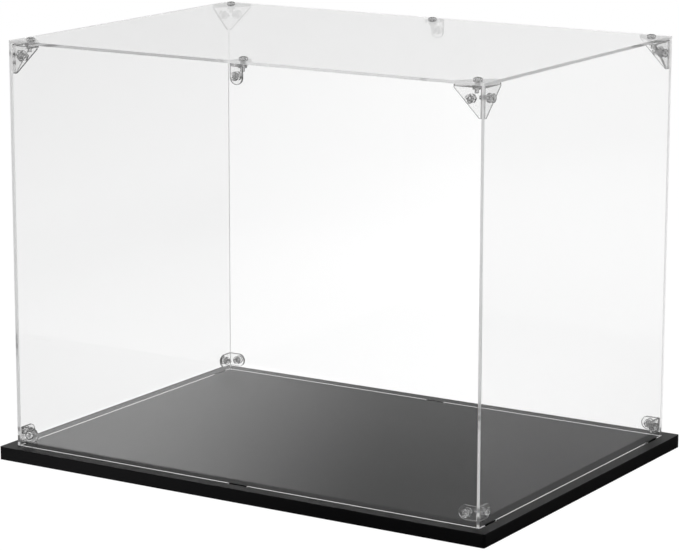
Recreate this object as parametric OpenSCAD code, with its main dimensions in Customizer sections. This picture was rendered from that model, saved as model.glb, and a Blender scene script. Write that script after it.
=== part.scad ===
// Clear self-assembly display case on a black base plate.
// Five clear sheets are screwed together with small clear corner brackets,
// and tabs on the four walls drop into slots in the base plate.
// Millimetres. +X along the long side, +Y to the back, +Z up.
// The origin is the bottom centre of the base plate.

/* [Base plate] */
// Length of the base plate
base_w = 400; // [300:1:600]
// Depth of the base plate
base_d = 292; // [220:1:450]
// Thickness of the base plate
base_t = 9.5; // [8:0.5:15]
// Bevel along the straight edges of the base plate
base_ease = 0.4; // [0.2:0.1:1.5]
// Radius of the base plate's four corners
base_corner = 2.5; // [1:0.5:12]

/* [Clear cover] */
// Length of the cover over the outside of its walls
cover_w = 381; // [280:1:580]
// Depth of the cover over the outside of its walls
cover_d = 272; // [200:1:430]
// Height of the cover above the base plate
cover_h = 293.5; // [150:0.5:500]
// Thickness of the clear sheet
sheet_t = 2; // [1.5:0.1:4]

/* [Tabs and slots] */
// Length of the tab in the middle of the front and back walls
long_tab = 15.5; // [10:0.5:40]
// Length of the two tabs under each side wall
side_tab = 15.5; // [10:0.5:40]
// Distance from a side wall's ends to the middle of its tabs
side_tab_inset = 15.5; // [12:0.5:40]
// How far the tabs reach down into the base plate
tab_deep = 5; // [3:0.5:6]
// Room round a tab in its slot
slot_room = 0.8; // [0.2:0.1:1.2]

/* [Brackets] */
// Wall of the moulded brackets
bracket_t = 1.8; // [1.5:0.1:3]
// Length of a corner bracket's three wings
corner_leg = 21.3; // [18:0.1:35]
// Width left at a corner bracket's cut tips
corner_tip = 2.6; // [2:0.1:6]
// Distance from a corner bracket's corner to its screws
corner_hole = 8.9; // [7:0.1:12]
// Length of an angle bracket's two wings
angle_leg = 14.5; // [13:0.5:25]
// Width of an angle bracket
angle_w = 10; // [9:0.5:14]
// Distance from an angle bracket's corner to its screws
angle_hole = 8.5; // [7:0.1:12]
// Height of the low brackets' middle above the base plate
low_bracket_z = 9; // [8:0.5:30]

/* [Screws and nuts] */
// Diameter of the screws
screw_d = 3; // [2.5:0.5:4]
// Length of the screws below the head
screw_len = 8.5; // [6:0.5:9]
// Diameter of the pan heads
head_d = 6.2; // [5:0.1:8]
// Height of the pan heads
head_h = 1.7; // [1.4:0.1:3]
// Width of the nuts across the flats
nut_w = 5.5; // [5:0.1:7]
// Thickness of the nuts
nut_t = 2; // [1.6:0.1:3.2]

/* [Hidden] */
// clearances between pieces that lie against one another
sheet_gap = 0.1;
bracket_gap = 0.05;
screw_gap = 0.03;
hole_room = 0.4;
nut_room = 0.1;
slot_floor_room = 0.6;

// small edges of the screws and nuts
crown_h = 0.9;
crown_in = 1.5;
tip_edge = 0.4;
recess_w = 0.6;
recess_len = 3;
recess_deep = 1;
nut_edge = 0.35;
corner_over = 0.05;

// how far cuts and joins reach past the faces they start from
over = 1;
through = 12;
$fn = 48;

hole_d = screw_d + hole_room;
nut_bore = screw_d + nut_room;

cover_top = base_t + cover_h;
under_top = cover_top - sheet_t;
wall_low = base_t + sheet_gap;
wall_high = under_top - sheet_gap;
wall_h = wall_high - wall_low;
inner_x = cover_w / 2 - sheet_t;
inner_y = cover_d / 2 - sheet_t;
end_wall_x = inner_x - sheet_gap;
tab_y = cover_d / 2 - side_tab_inset;
low_z = base_t + low_bracket_z;
sides = [-1, 1];

BLACK = [0.03, 0.03, 0.032];
CLEAR = [0.86, 0.91, 0.93, 0.35];

// ---- repeated shapes ----

// a rectangle with a small bevel at each corner
module eased_rect(w, d, c) {
    polygon([
        [-w / 2 + c, -d / 2],
        [w / 2 - c, -d / 2],
        [w / 2, -d / 2 + c],
        [w / 2, d / 2 - c],
        [w / 2 - c, d / 2],
        [-w / 2 + c, d / 2],
        [-w / 2, d / 2 - c],
        [-w / 2, -d / 2 + c],
    ]);
}

// a rectangle with round corners
module round_rect(w, d, r) {
    turns = [[1, 1, 0], [-1, 1, 90], [-1, -1, 180], [1, -1, 270]];
    polygon([
        for (turn = turns)
            for (a = [0:15:90])
                [
                    turn[0] * (w / 2 - r) + r * cos(turn[2] + a),
                    turn[1] * (d / 2 - r) + r * sin(turn[2] + a)
                ]
    ]);
}

// a plate with round corners and bevelled edges, standing on z = 0
module eased_plate(w, d, t, c, r) {
    intersection() {
        linear_extrude(height = t) round_rect(w, d, r);
        translate([0, d / 2, t / 2]) rotate([90, 0, 0]) linear_extrude(height = d) eased_rect(w, t, c);
        translate([-w / 2, 0, t / 2]) rotate([90, 0, 90]) linear_extrude(height = w) eased_rect(d, t, c);
    }
}

// a screw hole through a sheet or a bracket wing, along z and centred
module screw_hole() {
    cylinder(h = through, d = hole_d, center = true);
}

// points its child's +z along +x, -x, +y or -y
module face_x(s) {
    rotate([0, 90 * s, 0]) children();
}

module face_y(s) {
    rotate([-90 * s, 0, 0]) children();
}

// pan head screw with a cross recess: the head's underside is at z = 0 and the shaft points down
module pan_screw() {
    difference() {
        rotate_extrude() pan_profile();
        for (a = [0, 90]) {
            rotate([0, 0, a]) translate([0, 0, head_h])
                cube([recess_w, recess_len, 2 * recess_deep], center = true);
        }
    }
}

module pan_profile() {
    r = screw_d / 2;
    crown = [for (a = [0:15:90]) [
        head_d / 2 - crown_in * (1 - cos(a)),
        head_h - crown_h * (1 - sin(a)),
    ]];
    polygon(concat(
        [[0, -screw_len], [r - tip_edge, -screw_len], [r, -screw_len + tip_edge], [r, 0], [head_d / 2, 0]],
        crown,
        [[0, head_h]]
    ));
}

// hexagon nut with bevelled corners, from z = 0 down to -nut_t
module hex_nut() {
    across = nut_w / cos(30);
    reach = across / 2 + corner_over;
    difference() {
        intersection() {
            translate([0, 0, -nut_t]) cylinder(h = nut_t, d = across, $fn = 6);
            rotate_extrude() polygon([
                [0, -nut_t],
                [nut_w / 2, -nut_t],
                [reach, -nut_t + nut_edge],
                [reach, -nut_edge],
                [nut_w / 2, 0],
                [0, 0],
            ]);
        }
        translate([0, 0, -nut_t - over]) cylinder(h = nut_t + 2 * over, d = nut_bore);
    }
}

// the nut lies where the sheet, the bracket and their gaps end
module nut_in_place() {
    translate([0, 0, -sheet_t - bracket_gap - bracket_t - screw_gap]) hex_nut();
}

module screw_in_place() {
    translate([0, 0, screw_gap]) pan_screw();
}

// ---- corner bracket: three wings that meet in the inner corner at the origin ----

module wing_outline() {
    polygon([
        [0, 0],
        [corner_leg, 0],
        [corner_leg, corner_tip],
        [corner_tip, corner_leg],
        [0, corner_leg],
    ]);
}

// wings along +x, +y and -z
module corner_bracket() {
    difference() {
        union() {
            translate([0, 0, -bracket_t]) linear_extrude(height = bracket_t) wing_outline();
            translate([0, bracket_t, 0]) rotate([90, 0, 0]) mirror([0, 1, 0])
                linear_extrude(height = bracket_t) wing_outline();
            rotate([0, 90, 0]) linear_extrude(height = bracket_t) wing_outline();
        }
        translate([corner_hole, corner_hole, 0]) screw_hole();
        translate([corner_hole, 0, -corner_hole]) rotate([90, 0, 0]) screw_hole();
        translate([0, corner_hole, -corner_hole]) rotate([0, 90, 0]) screw_hole();
    }
}

// sx and sy name the corner of the cover: -1 is left or front, 1 is right or back
module top_bracket(sx, sy) {
    translate([sx * (inner_x - bracket_gap), sy * (inner_y - bracket_gap), under_top - bracket_gap])
        mirror([sx > 0 ? 1 : 0, 0, 0])
            mirror([0, sy > 0 ? 1 : 0, 0])
                corner_bracket();
}

module in_top_corner(sx, sy) {
    x = inner_x - bracket_gap - corner_hole;
    y = inner_y - bracket_gap - corner_hole;
    z = under_top - bracket_gap - corner_hole;
    translate([sx * x, sy * y, cover_top]) children();
    translate([sx * x, sy * cover_d / 2, z]) face_y(sy) children();
    translate([sx * cover_w / 2, sy * y, z]) face_x(sx) children();
}

// ---- angle bracket: two wings with round ends that meet along the z axis ----

module angle_wing() {
    translate([0, bracket_t, 0]) rotate([90, 0, 0]) linear_extrude(height = bracket_t) {
        translate([0, -angle_w / 2]) square([angle_leg - angle_w / 2, angle_w]);
        translate([angle_leg - angle_w / 2, 0]) circle(d = angle_w);
    }
}

// wings along +x and +y
module angle_bracket() {
    difference() {
        union() {
            angle_wing();
            mirror([1, -1, 0]) angle_wing();
        }
        translate([angle_hole, 0, 0]) rotate([90, 0, 0]) screw_hole();
        translate([0, angle_hole, 0]) rotate([0, 90, 0]) screw_hole();
    }
}

module low_bracket(sx, sy) {
    translate([sx * (inner_x - bracket_gap), sy * (inner_y - bracket_gap), low_z])
        mirror([sx > 0 ? 1 : 0, 0, 0])
            mirror([0, sy > 0 ? 1 : 0, 0])
                angle_bracket();
}

module in_low_corner(sx, sy) {
    x = inner_x - bracket_gap - angle_hole;
    y = inner_y - bracket_gap - angle_hole;
    translate([sx * x, sy * cover_d / 2, low_z]) face_y(sy) children();
    translate([sx * cover_w / 2, sy * y, low_z]) face_x(sx) children();
}

// one wing lies under the top sheet and the other against the front or back wall
module mid_bracket(sy) {
    translate([0, sy * (inner_y - bracket_gap), under_top - bracket_gap])
        mirror([0, sy > 0 ? 1 : 0, 0])
            rotate([0, 90, 0]) angle_bracket();
}

module in_middle(sy) {
    y = inner_y - bracket_gap - angle_hole;
    z = under_top - bracket_gap - angle_hole;
    translate([0, sy * y, cover_top]) children();
    translate([0, sy * cover_d / 2, z]) face_y(sy) children();
}

module at_top_corners() {
    for (sx = sides) {
        for (sy = sides) {
            in_top_corner(sx, sy) children();
        }
    }
}

module at_middles() {
    for (sy = sides) {
        in_middle(sy) children();
    }
}

module at_low_corners() {
    for (sx = sides) {
        for (sy = sides) {
            in_low_corner(sx, sy) children();
        }
    }
}

module all_screw_holes() {
    at_top_corners() screw_hole();
    at_middles() screw_hole();
    at_low_corners() screw_hole();
}

// ---- pieces ----

module slot(len) {
    long = len + 2 * slot_room;
    wide = sheet_t + 2 * slot_room;
    deep = tab_deep + slot_floor_room;
    translate([-long / 2, -wide / 2, base_t - deep]) cube([long, wide, deep + over]);
}

module base_plate() {
    color(BLACK) difference() {
        eased_plate(base_w, base_d, base_t, base_ease, base_corner);
        for (s = sides) {
            translate([0, s * (cover_d - sheet_t) / 2, 0]) slot(long_tab);
            for (e = sides) {
                translate([s * (cover_w - sheet_t) / 2, e * tab_y, 0]) rotate([0, 0, 90]) slot(side_tab);
            }
        }
    }
}

// a front or back wall, which stands between the side walls
module end_wall(sy) {
    y = sy > 0 ? cover_d / 2 - sheet_t : -cover_d / 2;
    color(CLEAR) difference() {
        union() {
            translate([-end_wall_x, y, wall_low]) cube([2 * end_wall_x, sheet_t, wall_h]);
            translate([-long_tab / 2, y, wall_low - tab_deep]) cube([long_tab, sheet_t, tab_deep + over]);
        }
        all_screw_holes();
    }
}

// a side wall, which covers the ends of the front and back walls
module side_wall(sx) {
    x = sx > 0 ? cover_w / 2 - sheet_t : -cover_w / 2;
    color(CLEAR) difference() {
        union() {
            translate([x, -cover_d / 2, wall_low]) cube([sheet_t, cover_d, wall_h]);
            for (e = sides) {
                translate([x, e * tab_y - side_tab / 2, wall_low - tab_deep])
                    cube([sheet_t, side_tab, tab_deep + over]);
            }
        }
        all_screw_holes();
    }
}

module front_panel() {
    end_wall(-1);
}

module back_panel() {
    end_wall(1);
}

module left_panel() {
    side_wall(-1);
}

module right_panel() {
    side_wall(1);
}

module top_panel() {
    color(CLEAR) difference() {
        translate([-cover_w / 2, -cover_d / 2, under_top]) cube([cover_w, cover_d, sheet_t]);
        all_screw_holes();
    }
}

module top_bracket_front_left() {
    color(CLEAR) top_bracket(-1, -1);
}

module top_bracket_front_right() {
    color(CLEAR) top_bracket(1, -1);
}

module top_bracket_back_left() {
    color(CLEAR) top_bracket(-1, 1);
}

module top_bracket_back_right() {
    color(CLEAR) top_bracket(1, 1);
}

module mid_bracket_front() {
    color(CLEAR) mid_bracket(-1);
}

module mid_bracket_back() {
    color(CLEAR) mid_bracket(1);
}

module low_bracket_front_left() {
    color(CLEAR) low_bracket(-1, -1);
}

module low_bracket_front_right() {
    color(CLEAR) low_bracket(1, -1);
}

module low_bracket_back_left() {
    color(CLEAR) low_bracket(-1, 1);
}

module low_bracket_back_right() {
    color(CLEAR) low_bracket(1, 1);
}

module top_corner_screws() {
    color(CLEAR) at_top_corners() screw_in_place();
}

module top_corner_nuts() {
    color(CLEAR) at_top_corners() nut_in_place();
}

module middle_screws() {
    color(CLEAR) at_middles() screw_in_place();
}

module middle_nuts() {
    color(CLEAR) at_middles() nut_in_place();
}

module low_corner_screws() {
    color(CLEAR) at_low_corners() screw_in_place();
}

module low_corner_nuts() {
    color(CLEAR) at_low_corners() nut_in_place();
}

base_plate();
front_panel();
back_panel();
left_panel();
right_panel();
top_panel();
top_bracket_front_left();
top_bracket_front_right();
top_bracket_back_left();
top_bracket_back_right();
mid_bracket_front();
mid_bracket_back();
low_bracket_front_left();
low_bracket_front_right();
low_bracket_back_left();
low_bracket_back_right();
top_corner_screws();
top_corner_nuts();
middle_screws();
middle_nuts();
low_corner_screws();
low_corner_nuts();
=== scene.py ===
"""Display case: finishes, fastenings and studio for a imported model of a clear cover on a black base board."""

import math

import bmesh
import bpy
from mathutils import Matrix, Vector


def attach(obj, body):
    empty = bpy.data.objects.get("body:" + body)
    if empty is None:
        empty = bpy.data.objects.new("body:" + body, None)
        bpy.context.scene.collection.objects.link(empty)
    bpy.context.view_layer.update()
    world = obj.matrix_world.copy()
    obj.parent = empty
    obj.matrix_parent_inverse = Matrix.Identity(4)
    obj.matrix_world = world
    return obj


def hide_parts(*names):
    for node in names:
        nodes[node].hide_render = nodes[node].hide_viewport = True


# Lengths and places are in metres.
MM = 0.001

# The viewpoint: a long lens from the front right, a little above the case. AWAY points level from the lens to
# the case, and RIGHTWARD level to the right of that.
IMAGE_WIDTH_PX = 679
FOCAL_PX = 2904.9
SENSOR_MM = 36.0
NEAR_CLIP = 0.05
CAMERA_PLACE = Vector((1.0770, -1.7271, 0.5713))
CAMERA_YAW = math.radians(32.0055)
CAMERA_PITCH = math.radians(-12.1817)
CAMERA_ROLL = math.radians(0.0811)
AWAY = (-math.sin(CAMERA_YAW), math.cos(CAMERA_YAW), 0.0)
RIGHTWARD = (math.cos(CAMERA_YAW), math.sin(CAMERA_YAW), 0.0)

# The base board's lacquer. PEEL is the width of a dimple in its orange peel, and the low IORs keep its shine
# faint. A surface has the face's finish where its normal points up by LEVEL_FULL, and none below LEVEL_FROM.
PEEL = 1.6 * MM
PEEL_DEEP = 0.05 * MM
PEEL_STRENGTH = 0.03
FACE_BLACK = "#0a0a0b"
FACE_ROUGH = 0.4
FACE_IOR = 1.2
# The sawn sides' black is lighter than the face's: partly their own colour, partly painted light on the sides.
SAWN_BLACK_WITH_PAINTED_LIGHT = "#131314"
SAWN_ROUGH = 0.7
SAWN_IOR = 1.15
LEVEL_FROM = 0.75
LEVEL_FULL = 0.95

# Cast acrylic, and the frost of its cut edges. A surface looks along an axis if that part of its normal is
# more than FACING.
ACRYLIC_TINT = "#fefefe"
ACRYLIC_SHADE = "#f5f5f5"
ACRYLIC_IOR = 1.49
CUT_TINT = "#ffffff"
# Painted shade: the top sheet's short cut edges are tinted grey.
SHORT_CUT_SHADE_GREY = "#d4d4d4"
CUT_ROUGH = 0.35
CUT_IOR = 1.04
CUT_CLEAR = 0.7
FACING = 0.9

# Clear polycarbonate with painted shade: its colour where it is seen flat on, the painted shade's darkest
# colour, and the share of the turn away from the eye at which the painted shade starts and is full.
POLYCARBONATE_IOR = 1.58
BRACKET_LOOK = {"flat": "#fdfdfd", "painted_darkest": "#404040", "painted_shade_from": 0.55, "painted_shade_full": 0.85}
# Painted shade: the rims are grey even where they are seen flat on.
RIM_PAINTED_SHADE_LOOK = {"flat": "#b0b0b0", "painted_darkest": "#303030", "painted_shade_from": 0.3, "painted_shade_full": 0.7}
FASTENING_LOOK = {"flat": "#fdfdfd", "painted_darkest": "#202020", "painted_shade_from": 0.42, "painted_shade_full": 0.6}

# The grey room that shows in reflections: how bright it is, the heights between which it dims upwards, and
# the directions between which it dims towards the front.
WHITE = "#ffffff"
ROOM_AT_HORIZON = 0.85
ROOM_OVERHEAD = 0.25
ROOM_IN_FRONT = 0.12
DIM_FROM = 0.25
DIM_FULL = 0.9
FRONT_FULL = -0.3
FRONT_FROM = 0.6

# Light that runs along inside a sheet turns back at its faces more often than PIPED_TURNS.
PIPED_TURNS = 5.5
PIPED_WHITE = 0.74

# The floor: how white it shows when it is seen straight, and at the left and right through the cover. The eye
# sees WHITE_SHARE of that white, and the rest is paper, which takes the lamps' light and the shadow.
FLOOR_REACH = 8.0
FLOOR_DROP = 0.05 * MM
FLOOR_GREY = "#a8a8a8"
FLOOR_PALE = "#f0f0f0"
PALE_FROM = 0.15
PALE_FULL = 0.42
WHITE_STRAIGHT = 1.12
WHITE_LEFT = 1.12
WHITE_RIGHT = 1.34
WHITE_REACH = 0.4
WHITE_SHARE = 0.88

# A painted reflection: a white card glowing on the floor, seen only where a clear wall or the base mirrors it.
# Each pair says where its light is nothing and where it is full: on the floor, and by how many clear faces and
# mirrors lie on the way to the eye.
CARD_WHITE = 1.95
CARD_SLANT = 0.5
CARD_SHIFT = -0.062
CARD_RIGHT = (0.13, -0.14)
CARD_LEFT = (-0.228, -0.214)
CARD_FRONT = (-0.46, -0.445)
CARD_BACK = (-0.13, -0.15)
CARD_THROUGH = (3, 2)
CARD_MIRRORED = (0, 1)

# The lamps.
SOFTBOX_PLACE = (-0.3, -0.6, 1.6)
SOFTBOX_AIM = (0, 0, 0.1)
SOFTBOX_SIZE = (1.2, 1.2)
SOFTBOX_WATTS = 14
SPOT_PLACE = (-0.16, -0.68, 1.2)
SPOT_WATTS = 70
SPOT_CONE = math.radians(50)
SPOT_RADIUS = 0.05

# Light needs many bounces to get from the middle of a sheet to its cut edges.
MAX_BOUNCES = 160
CLEAR_BOUNCES = 64
GLOSSY_BOUNCES = 128
SHADOW_BOUNCES = 32

# The pieces. Each sheet is given with the axis that its faces look along. UPRIGHT is the Z axis.
SHEETS = {"front_panel": 1, "back_panel": 1, "left_panel": 0, "right_panel": 0, "top_panel": 2}
UPRIGHT = 2
CORNERS = ("front_left", "front_right", "back_left", "back_right")
BRACKETS = [f"{level}_bracket_{corner}" for level in ("top", "low") for corner in CORNERS]
BRACKETS += ["mid_bracket_front", "mid_bracket_back"]
SCREW_SETS = ("top_corner_screws", "middle_screws", "low_corner_screws")
NUT_SETS = ("top_corner_nuts", "middle_nuts", "low_corner_nuts")

# Pan head screws. The two arcs are points on the outline of the head, in degrees.
TURN_STEPS = 32
HEAD_H = 1.7 * MM
HEAD_RIM = 0.35 * MM
HEAD_RIM_ARC = (30, 60)
CROWN_H = 0.7 * MM
CROWN_ARC = (5, 20, 35, 50)
RECESS_REACH = 1.6 * MM
RECESS_HALF = 0.34 * MM
RECESS_MOUTH = 0.1 * MM
RECESS_DEEP = 1.1 * MM
RECESS_TAPER = 0.55
SHAFT_R = 1.5 * MM
THREAD_PITCH = 0.5 * MM
THREAD_DEEP = 0.28 * MM
THREAD_ROWS = 4
THREAD_RUN_OUT = 0.5 * MM
TIP_BEVEL = 0.35 * MM
SCREW_TURN = math.radians(37)

# Moulded edges. A surface is flat if one part of its normal is more than FLAT, and otherwise it is rim.
BRACKET_ROUND = 0.55 * MM
NUT_ROUND = 0.3 * MM
ROUND_STEPS = 3
SHARP = math.radians(30)
FLUSH = math.radians(1)
FLAT = 0.99
JOINED = 0.002 * MM
TINY = 1e-9


# ---- node helpers ----

def srgb(hex_colour, alpha=1.0):
    """A colour written as sRGB hex, as the linear values that Blender takes."""
    channels = [int(hex_colour[i:i + 2], 16) / 255 for i in (1, 3, 5)]
    return [c / 12.92 if c <= 0.04045 else ((c + 0.055) / 1.055) ** 2.4 for c in channels] + [alpha]


def add_node(tree, kind, inputs=None, **settings):
    """Adds a node, sets its settings, and fills its inputs with values or with other nodes' outputs."""
    node = tree.nodes.new(kind)
    for name, value in settings.items():
        setattr(node, name, value)
    for name, value in (inputs or {}).items():
        socket = node.inputs[name]
        if isinstance(value, bpy.types.NodeSocket):
            tree.links.new(value, socket)
        else:
            socket.default_value = value
    return node


def new_material(name):
    material = bpy.data.materials.new(name)
    material.use_nodes = True
    material.node_tree.nodes.clear()
    return material, material.node_tree


def finish_material(tree, surface):
    add_node(tree, "ShaderNodeOutputMaterial", {"Surface": surface})


def give(objects, material):
    for obj in objects:
        obj.data.materials.clear()
        obj.data.materials.append(material)


# ---- materials ----

def lacquered_board():
    """Fibreboard sprayed black. The face is rubbed to an even satin over a fine orange peel, so it mirrors
    the room softly. The sawn edges soak up the lacquer and stay matt, and their black is a shade lighter:
    partly their own colour and partly painted light that brightens the sides."""
    material, tree = new_material("satin_black_lacquered_board")
    place = add_node(tree, "ShaderNodeTexCoord").outputs["Object"]
    normal = add_node(tree, "ShaderNodeNewGeometry").outputs["Normal"]
    upward = add_node(tree, "ShaderNodeSeparateXYZ", {0: normal}).outputs["Z"]
    face = add_node(tree, "ShaderNodeMapRange",
                    {"Value": upward, "From Min": LEVEL_FROM, "From Max": LEVEL_FULL})
    peel = add_node(tree, "ShaderNodeTexNoise",
                    {"Vector": place, "Scale": 1 / PEEL, "Detail": 2.0, "Roughness": 0.5})
    bump = add_node(tree, "ShaderNodeBump",
                    {"Height": peel.outputs["Fac"], "Strength": PEEL_STRENGTH, "Distance": PEEL_DEEP})
    satin = add_node(tree, "ShaderNodeBsdfPrincipled",
                     {"Base Color": srgb(FACE_BLACK), "Roughness": FACE_ROUGH, "IOR": FACE_IOR,
                      "Normal": bump.outputs["Normal"]})
    matt = add_node(tree, "ShaderNodeBsdfPrincipled",
                    {"Base Color": srgb(SAWN_BLACK_WITH_PAINTED_LIGHT), "Roughness": SAWN_ROUGH, "IOR": SAWN_IOR})
    mixed = add_node(tree, "ShaderNodeMixShader",
                     {0: face.outputs["Result"], 1: matt.outputs["BSDF"], 2: satin.outputs["BSDF"]})
    finish_material(tree, mixed.outputs["Shader"])
    return material


def clear_sheet():
    """Cast acrylic sheet with polished faces, as clear as glass. The lamps shine through it, so the base
    keeps only a faint shadow of it."""
    material, tree = new_material("clear_cast_acrylic_sheet")
    shader = add_node(tree, "ShaderNodeBsdfPrincipled",
                      {"Base Color": srgb(ACRYLIC_TINT), "Roughness": 0.0, "IOR": ACRYLIC_IOR,
                       "Transmission Weight": 1.0})
    through = add_node(tree, "ShaderNodeBsdfTransparent", {"Color": srgb(ACRYLIC_SHADE)})
    light = add_node(tree, "ShaderNodeLightPath")
    mixed = add_node(tree, "ShaderNodeMixShader",
                     {0: light.outputs["Is Shadow Ray"], 1: shader.outputs["BSDF"],
                      2: through.outputs["BSDF"]})
    finish_material(tree, mixed.outputs["Shader"])
    return material


def cut_edge(name, tint_and_shade):
    """The sheets' cut edges: the same acrylic, left with the fine frost of the cutter, so they show as pale
    lines. The low IOR stands for the frost, which lets light out where a polished edge would turn it back."""
    material, tree = new_material(name)
    shader = add_node(tree, "ShaderNodeBsdfPrincipled",
                      {"Base Color": srgb(tint_and_shade), "Roughness": CUT_ROUGH, "IOR": CUT_IOR,
                       "Transmission Weight": CUT_CLEAR})
    finish_material(tree, shader.outputs["BSDF"])
    return material


def clear_moulding_with_painted_shade(name, flat, painted_darkest, painted_shade_from, painted_shade_full):
    """Injection moulded clear polycarbonate, glossy and free of colour. Painted shade darkens its colour as a
    face turns away from the eye, standing in for the dark it shows where it bends light the most."""
    material, tree = new_material(name)
    # Painted shade: the colour darkens as the face turns away from the eye.
    facing = add_node(tree, "ShaderNodeLayerWeight", {"Blend": 0.5}).outputs["Facing"]
    shade_amount = add_node(tree, "ShaderNodeMapRange",
                    {"Value": facing, "From Min": painted_shade_from, "From Max": painted_shade_full},
                    interpolation_type="SMOOTHSTEP")
    tint_and_shade = add_node(tree, "ShaderNodeMix",
                    {"Factor": shade_amount.outputs["Result"], "A": srgb(flat), "B": srgb(painted_darkest)},
                    data_type="RGBA")
    shader = add_node(tree, "ShaderNodeBsdfPrincipled",
                      {"Base Color": tint_and_shade.outputs["Result"], "Roughness": 0.0, "IOR": POLYCARBONATE_IOR,
                       "Transmission Weight": 1.0})
    finish_material(tree, shader.outputs["BSDF"])
    return material


# ---- studio ----

def bounced_light(tree):
    """1 for light that has bounced off something on its way to the eye, and 0 for what is seen straight or
    through clear pieces."""
    light = add_node(tree, "ShaderNodeLightPath")
    bounces = add_node(tree, "ShaderNodeMath",
                       {0: light.outputs["Glossy Depth"], 1: light.outputs["Diffuse Depth"]},
                       operation="ADD")
    return add_node(tree, "ShaderNodeMath", {0: bounces.outputs[0], 1: 1.0}, operation="MINIMUM").outputs[0]


def piped_light(tree):
    """1 for light that has run along inside a sheet, from face to face, before it comes out at a cut edge."""
    light = add_node(tree, "ShaderNodeLightPath")
    return add_node(tree, "ShaderNodeMath", {0: light.outputs["Glossy Depth"], 1: PIPED_TURNS},
                    operation="GREATER_THAN").outputs[0]


def white_studio_world():
    """White to the eye, and in reflections a grey room that is palest behind the case, near the horizon."""
    world = bpy.data.worlds.new("white_studio")
    world.use_nodes = True
    world.cycles.sampling_method = "NONE"
    bpy.context.scene.world = world
    tree = world.node_tree
    tree.nodes.clear()
    direction = add_node(tree, "ShaderNodeTexCoord").outputs["Generated"]
    height = add_node(tree, "ShaderNodeSeparateXYZ", {0: direction}).outputs["Z"]
    dim = add_node(tree, "ShaderNodeMapRange",
                   {"Value": height, "From Min": DIM_FROM, "From Max": DIM_FULL,
                    "To Min": ROOM_AT_HORIZON, "To Max": ROOM_OVERHEAD},
                   interpolation_type="SMOOTHSTEP")
    back = add_node(tree, "ShaderNodeVectorMath", {0: direction, 1: AWAY}, operation="DOT_PRODUCT")
    fall = add_node(tree, "ShaderNodeMapRange",
                    {"Value": back.outputs["Value"], "From Min": FRONT_FULL, "From Max": FRONT_FROM,
                     "To Min": ROOM_IN_FRONT, "To Max": dim.outputs["Result"]},
                    interpolation_type="SMOOTHSTEP")
    white = add_node(tree, "ShaderNodeBackground", {"Color": srgb(WHITE), "Strength": 1.0})
    tone = add_node(tree, "ShaderNodeMapRange",
                    {"Value": piped_light(tree), "To Min": fall.outputs["Result"], "To Max": PIPED_WHITE})
    room = add_node(tree, "ShaderNodeBackground", {"Color": srgb(WHITE), "Strength": tone.outputs["Result"]})
    mixed = add_node(tree, "ShaderNodeMixShader",
                     {0: bounced_light(tree), 1: white.outputs[0], 2: room.outputs[0]})
    add_node(tree, "ShaderNodeOutputWorld", {"Surface": mixed.outputs[0]})


def painted_card_reflection(tree, place):
    """How brightly a painted reflection shows: a white card glowing on the floor, in front of the case's left
    half, seen only where a clear wall or the base mirrors it. It fades away to the right."""
    spot = add_node(tree, "ShaderNodeSeparateXYZ", {0: place})
    along = add_node(tree, "ShaderNodeMath", {0: spot.outputs["Y"], 1: -CARD_SLANT, 2: CARD_SHIFT},
                     operation="MULTIPLY_ADD")
    across = add_node(tree, "ShaderNodeMath", {0: spot.outputs["X"], 1: along.outputs[0]}, operation="ADD")
    light = add_node(tree, "ShaderNodeLightPath")
    sides = [(across.outputs[0], CARD_RIGHT),
             (spot.outputs["X"], CARD_LEFT),
             (spot.outputs["Y"], CARD_FRONT),
             (spot.outputs["Y"], CARD_BACK),
             (light.outputs["Transmission Depth"], CARD_THROUGH),
             (light.outputs["Glossy Depth"], CARD_MIRRORED)]
    shown = CARD_WHITE
    for value, (nothing, full) in sides:
        side = add_node(tree, "ShaderNodeMapRange", {"Value": value, "From Min": nothing, "From Max": full},
                        interpolation_type="SMOOTHSTEP")
        shown = add_node(tree, "ShaderNodeMath", {0: side.outputs["Result"], 1: shown},
                         operation="MULTIPLY").outputs[0]
    return shown


def floor_paper(tree, place):
    """Grey paper under the case, which turns to pale paper on its right."""
    across = add_node(tree, "ShaderNodeSeparateXYZ", {0: place}).outputs["X"]
    right = add_node(tree, "ShaderNodeMapRange",
                     {"Value": across, "From Min": PALE_FROM, "From Max": PALE_FULL},
                     interpolation_type="SMOOTHSTEP")
    colour = add_node(tree, "ShaderNodeMix",
                      {"Factor": right.outputs["Result"], "A": srgb(FLOOR_GREY), "B": srgb(FLOOR_PALE)},
                      data_type="RGBA")
    return add_node(tree, "ShaderNodeBsdfDiffuse", {"Color": colour.outputs["Result"]})


def floor_glow(tree, place):
    """The white that the eye sees. Through the clear cover it grows brighter to the right."""
    light = add_node(tree, "ShaderNodeLightPath")
    through = add_node(tree, "ShaderNodeMath", {0: light.outputs["Transmission Depth"], 1: 1.0},
                       operation="MINIMUM")
    across = add_node(tree, "ShaderNodeVectorMath", {0: place, 1: RIGHTWARD}, operation="DOT_PRODUCT")
    lit = add_node(tree, "ShaderNodeMapRange",
                   {"Value": across.outputs["Value"], "From Min": -WHITE_REACH, "From Max": WHITE_REACH,
                    "To Min": WHITE_LEFT, "To Max": WHITE_RIGHT})
    white = add_node(tree, "ShaderNodeMapRange",
                     {"Value": through.outputs[0], "To Min": WHITE_STRAIGHT, "To Max": lit.outputs["Result"]})
    return add_node(tree, "ShaderNodeEmission", {"Color": srgb(WHITE), "Strength": white.outputs["Result"]})


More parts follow.
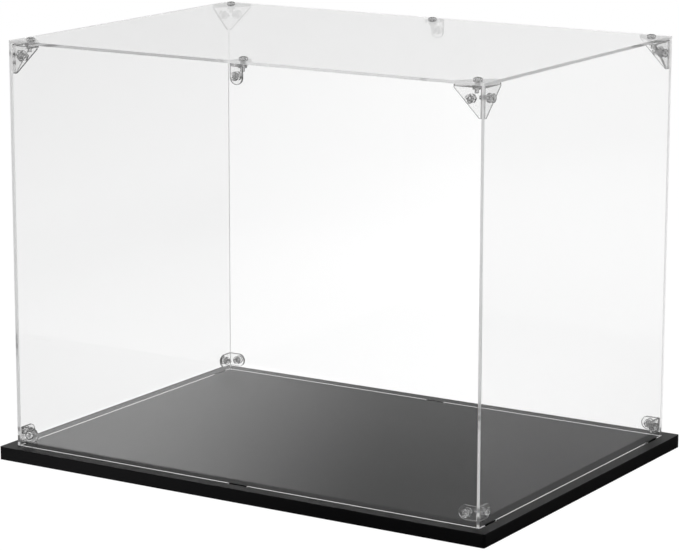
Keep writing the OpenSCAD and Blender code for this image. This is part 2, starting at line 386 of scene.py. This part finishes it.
def studio_paper():
    """The floor's paper: white to the eye, apart from a faint shadow, and grey in reflections."""
    material, tree = new_material("pale_studio_floor")
    material.cycles.emission_sampling = "NONE"
    place = add_node(tree, "ShaderNodeTexCoord").outputs["Object"]
    paper = floor_paper(tree, place)
    glow = floor_glow(tree, place)
    share = add_node(tree, "ShaderNodeMapRange",
                     {"Value": bounced_light(tree), "To Min": WHITE_SHARE, "To Max": 0.0})
    mixed = add_node(tree, "ShaderNodeMixShader",
                     {0: share.outputs["Result"], 1: paper.outputs[0], 2: glow.outputs[0]})
    piped = add_node(tree, "ShaderNodeEmission", {"Color": srgb(WHITE), "Strength": PIPED_WHITE})
    ends = add_node(tree, "ShaderNodeMixShader",
                    {0: piped_light(tree), 1: mixed.outputs[0], 2: piped.outputs[0]})
    # Painted reflection: the card's glow, added to the floor for mirrored rays only.
    card = add_node(tree, "ShaderNodeEmission",
                    {"Color": srgb(WHITE), "Strength": painted_card_reflection(tree, place)})
    both = add_node(tree, "ShaderNodeAddShader", {0: ends.outputs[0], 1: card.outputs[0]})
    finish_material(tree, both.outputs[0])
    return material


def pale_floor():
    """One large level sheet of paper, just under the base."""
    corners = [(-FLOOR_REACH, -FLOOR_REACH, 0), (FLOOR_REACH, -FLOOR_REACH, 0),
               (FLOOR_REACH, FLOOR_REACH, 0), (-FLOOR_REACH, FLOOR_REACH, 0)]
    mesh = bpy.data.meshes.new("pale_floor")
    mesh.from_pydata(corners, [], [(0, 1, 2, 3)])
    floor = bpy.data.objects.new("pale_floor", mesh)
    floor.location.z = -FLOOR_DROP
    bpy.context.scene.collection.objects.link(floor)
    give([floor], studio_paper())


def softbox():
    """A large soft lamp overhead, a little to the front and left. It gives the case its even light."""
    lamp = bpy.data.lights.new("top_softbox", "AREA")
    lamp.shape = "RECTANGLE"
    lamp.size, lamp.size_y = SOFTBOX_SIZE
    lamp.energy = SOFTBOX_WATTS
    lamp.cycles.use_multiple_importance_sampling = False
    obj = bpy.data.objects.new("top_softbox", lamp)
    obj.location = SOFTBOX_PLACE
    obj.rotation_euler = (Vector(SOFTBOX_AIM) - Vector(SOFTBOX_PLACE)).to_track_quat("-Z", "Y").to_euler()
    bpy.context.scene.collection.objects.link(obj)


def floor_spot():
    """A soft spot straight down on the floor in front of the case, for the walls to mirror."""
    lamp = bpy.data.lights.new("floor_spot_wide", "SPOT")
    lamp.energy = SPOT_WATTS
    lamp.spot_size = SPOT_CONE
    lamp.spot_blend = 1.0
    lamp.shadow_soft_size = SPOT_RADIUS
    lamp.cycles.use_multiple_importance_sampling = False
    obj = bpy.data.objects.new("floor_spot_wide", lamp)
    obj.location = SPOT_PLACE
    bpy.context.scene.collection.objects.link(obj)


def long_lens_camera():
    lens = bpy.data.cameras.new("long_lens")
    lens.sensor_width = SENSOR_MM
    lens.lens = FOCAL_PX * SENSOR_MM / IMAGE_WIDTH_PX
    lens.clip_start = NEAR_CLIP
    camera = bpy.data.objects.new("long_lens", lens)
    turn = (Matrix.Rotation(CAMERA_YAW, 3, "Z")
            @ Matrix.Rotation(math.pi / 2 + CAMERA_PITCH, 3, "X")
            @ Matrix.Rotation(CAMERA_ROLL, 3, "Z"))
    camera.matrix_world = Matrix.Translation(CAMERA_PLACE) @ turn.to_4x4()
    bpy.context.scene.collection.objects.link(camera)
    bpy.context.scene.camera = camera


# ---- fastenings and brackets ----

def cross_reach(angle, reach, half):
    """How far a plus-shaped outline lies from its middle in one direction."""
    across = abs(math.cos(angle)) + TINY
    along = abs(math.sin(angle)) + TINY
    return max(min(reach / across, half / along), min(half / across, reach / along))


def thread_radius(angle, z, tip):
    """A V thread that fades out under the head and is bevelled at the tip."""
    turn = (z / THREAD_PITCH - angle / math.tau) % 1.0
    depth = THREAD_DEEP * abs(2 * turn - 1) * min(1.0, -z / THREAD_RUN_OUT)
    return min(SHAFT_R - depth, SHAFT_R - TIP_BEVEL + z - tip)


def arc(middle, reach, degrees):
    """Points on an upright arc round a middle, each a radius and a height. Its two reaches may differ."""
    turns = [math.radians(degree) for degree in degrees]
    return [(middle[0] + reach[0] * math.cos(t), middle[1] + reach[1] * math.sin(t)) for t in turns]


def screw_rings(length, head_r):
    """Rings of a screw from its tip up to the floor of its cross recess. Its head's underside is at z = 0."""
    angles = [math.tau * i / TURN_STEPS for i in range(TURN_STEPS)]
    rows = round(length / THREAD_PITCH * THREAD_ROWS)
    heights = [-length + length * row / rows for row in range(rows + 1)]
    rings = [[(thread_radius(a, z, -length), a, z) for a in angles] for z in heights]
    straight = HEAD_H - CROWN_H
    crown_base = head_r - HEAD_RIM
    foot = HEAD_RIM / 3
    profile = [(head_r - foot, 0), (head_r, foot), (head_r, straight - HEAD_RIM)]
    profile += arc((crown_base, straight - HEAD_RIM), (HEAD_RIM, HEAD_RIM), HEAD_RIM_ARC)
    profile += arc((0, straight), (crown_base, CROWN_H), CROWN_ARC)
    rings += [[(r, a, z) for a in angles] for r, z in profile]
    cross = [cross_reach(a, RECESS_REACH, RECESS_HALF) for a in angles]
    rings.append([(r, a, HEAD_H - RECESS_MOUTH) for r, a in zip(cross, angles)])
    rings.append([(RECESS_TAPER * r, a, HEAD_H - RECESS_DEEP) for r, a in zip(cross, angles)])
    return rings


def add_screw(shape, place, length, head_r):
    """Adds one closed screw to a shape, with its head along the place's Z axis."""
    rings = [[shape.verts.new(place @ Vector((r * math.cos(a), r * math.sin(a), z))) for r, a, z in ring]
             for ring in screw_rings(length, head_r)]
    for low, high in zip(rings, rings[1:]):
        for i in range(TURN_STEPS):
            j = (i + 1) % TURN_STEPS
            shape.faces.new((low[i], low[j], high[j], high[i]))
    shape.faces.new(reversed(rings[0]))
    shape.faces.new(rings[-1])


def joined_shape(node):
    """A node's solids as one shape in the case's own place, with the corners of their faces joined."""
    shape = bmesh.new()
    shape.from_mesh(nodes[node].data)
    shape.transform(nodes[node].matrix_world)
    bmesh.ops.remove_doubles(shape, verts=shape.verts, dist=JOINED)
    return shape


def solid_boxes(node):
    """The low and high corner of each separate solid in a node."""
    shape = joined_shape(node)
    boxes = []
    seen = set()
    for start in shape.verts:
        if start in seen:
            continue
        seen.add(start)
        solid = [start]
        for vert in solid:
            for edge in vert.link_edges:
                other = edge.other_vert(vert)
                if other not in seen:
                    seen.add(other)
                    solid.append(other)
        boxes.append([Vector([pick(v.co[axis] for v in solid) for axis in range(3)]) for pick in (min, max)])
    shape.free()
    return boxes


def add_piece(name, shape, node, material):
    """Makes a piece of the cover from a shape, in place of a node."""
    mesh = bpy.data.meshes.new(name)
    shape.to_mesh(mesh)
    shape.free()
    piece = bpy.data.objects.new(name, mesh)
    bpy.context.scene.collection.objects.link(piece)
    give([piece], material)
    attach(piece, "cover")
    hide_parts(node)
    return piece


def threaded_screws(node, material):
    """Every screw of a node made again with its thread and cross recess. Each has its head outwards."""
    shape = bmesh.new()
    for number, (low, high) in enumerate(solid_boxes(node)):
        size = high - low
        middle = (low + high) / 2
        axis = max(range(3), key=lambda i: size[i])
        out = Vector([1.0 if i == axis else 0.0 for i in range(3)]) * (1 if middle[axis] > 0 else -1)
        under_head = middle + out * (size[axis] / 2 - HEAD_H)
        place = (Matrix.Translation(under_head) @ out.to_track_quat("Z", "Y").to_matrix().to_4x4()
                 @ Matrix.Rotation(SCREW_TURN * number, 4, "Z"))
        add_screw(shape, place, size[axis] - HEAD_H, min(size) / 2)
    add_piece(f"threaded_{node}", shape, node, material)


def rounded_copy(node, radius, material, rim=None):
    """A copy of a node's solids with their sharp edges rounded off. Its rounded and slanting faces may have a
    material of their own."""
    shape = joined_shape(node)
    bmesh.ops.dissolve_limit(shape, angle_limit=FLUSH, verts=shape.verts, edges=shape.edges)
    sharp = [edge for edge in shape.edges if edge.is_manifold and edge.calc_face_angle() > SHARP]
    bmesh.ops.bevel(shape, geom=sharp, offset=radius, offset_type="OFFSET", segments=ROUND_STEPS, profile=0.5,
                    affect="EDGES", clamp_overlap=True)
    bmesh.ops.triangulate(shape, faces=[face for face in shape.faces if len(face.verts) > 4])
    piece = add_piece(f"rounded_{node}", shape, node, material)
    if rim:
        # The rim's material is greyer with painted shade.
        piece.data.materials.append(rim)
        for face in piece.data.polygons:
            face.material_index = 0 if max(abs(part) for part in face.normal) > FLAT else 1


def finish_sheet(obj, axis, materials):
    """Gives a sheet its three finishes: clear faces, frosted cut edges, and on the top sheet short cut edges
    greyed with painted shade. The walls' lower edges stay clear."""
    give([obj], materials[0])
    for material in materials[1:]:
        obj.data.materials.append(material)
    for face in obj.data.polygons:
        face.material_index = 0 if abs(face.normal[axis]) > FACING or face.normal.z < -FACING else 1
        # Painted shade: the top sheet's short edges take the grey cut edge.
        if axis == UPRIGHT and abs(face.normal.x) > FACING:
            face.material_index = 2


# ---- the case ----

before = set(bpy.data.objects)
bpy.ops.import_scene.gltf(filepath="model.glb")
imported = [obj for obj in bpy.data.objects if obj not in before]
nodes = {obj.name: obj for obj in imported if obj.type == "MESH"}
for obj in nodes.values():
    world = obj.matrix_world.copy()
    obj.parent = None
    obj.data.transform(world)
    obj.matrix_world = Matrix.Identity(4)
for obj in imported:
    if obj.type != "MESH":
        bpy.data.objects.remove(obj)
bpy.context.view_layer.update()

long_lens_camera()
white_studio_world()
pale_floor()
softbox()
floor_spot()

give([nodes["base_plate"]], lacquered_board())

acrylic = [clear_sheet(),
           cut_edge("frosted_cut_acrylic_edge", CUT_TINT),
           cut_edge("shaded_short_cut_acrylic_edge", SHORT_CUT_SHADE_GREY)]
for node, axis in SHEETS.items():
    finish_sheet(nodes[node], axis, acrylic)

# Painted shade: the brackets' rims are coloured greyer than their flat faces, which keeps the clear brackets'
# outlines plain to see.
moulding = clear_moulding_with_painted_shade("clear_moulded_bracket_polycarbonate", **BRACKET_LOOK)
rim = clear_moulding_with_painted_shade("moulded_bracket_rim_painted_shade", **RIM_PAINTED_SHADE_LOOK)
for node in BRACKETS:
    rounded_copy(node, BRACKET_ROUND, moulding, rim)

# Painted shade: the fastenings darken as their faces turn away from the eye.
fastening = clear_moulding_with_painted_shade("clear_moulded_fastening_polycarbonate", **FASTENING_LOOK)
for node in SCREW_SETS:
    threaded_screws(node, fastening)
for node in NUT_SETS:
    rounded_copy(node, NUT_ROUND, fastening)

scene = bpy.context.scene
scene.view_settings.view_transform = "Standard"
scene.cycles.max_bounces = MAX_BOUNCES
scene.cycles.transmission_bounces = CLEAR_BOUNCES
scene.cycles.glossy_bounces = GLOSSY_BOUNCES
scene.cycles.transparent_max_bounces = SHADOW_BOUNCES
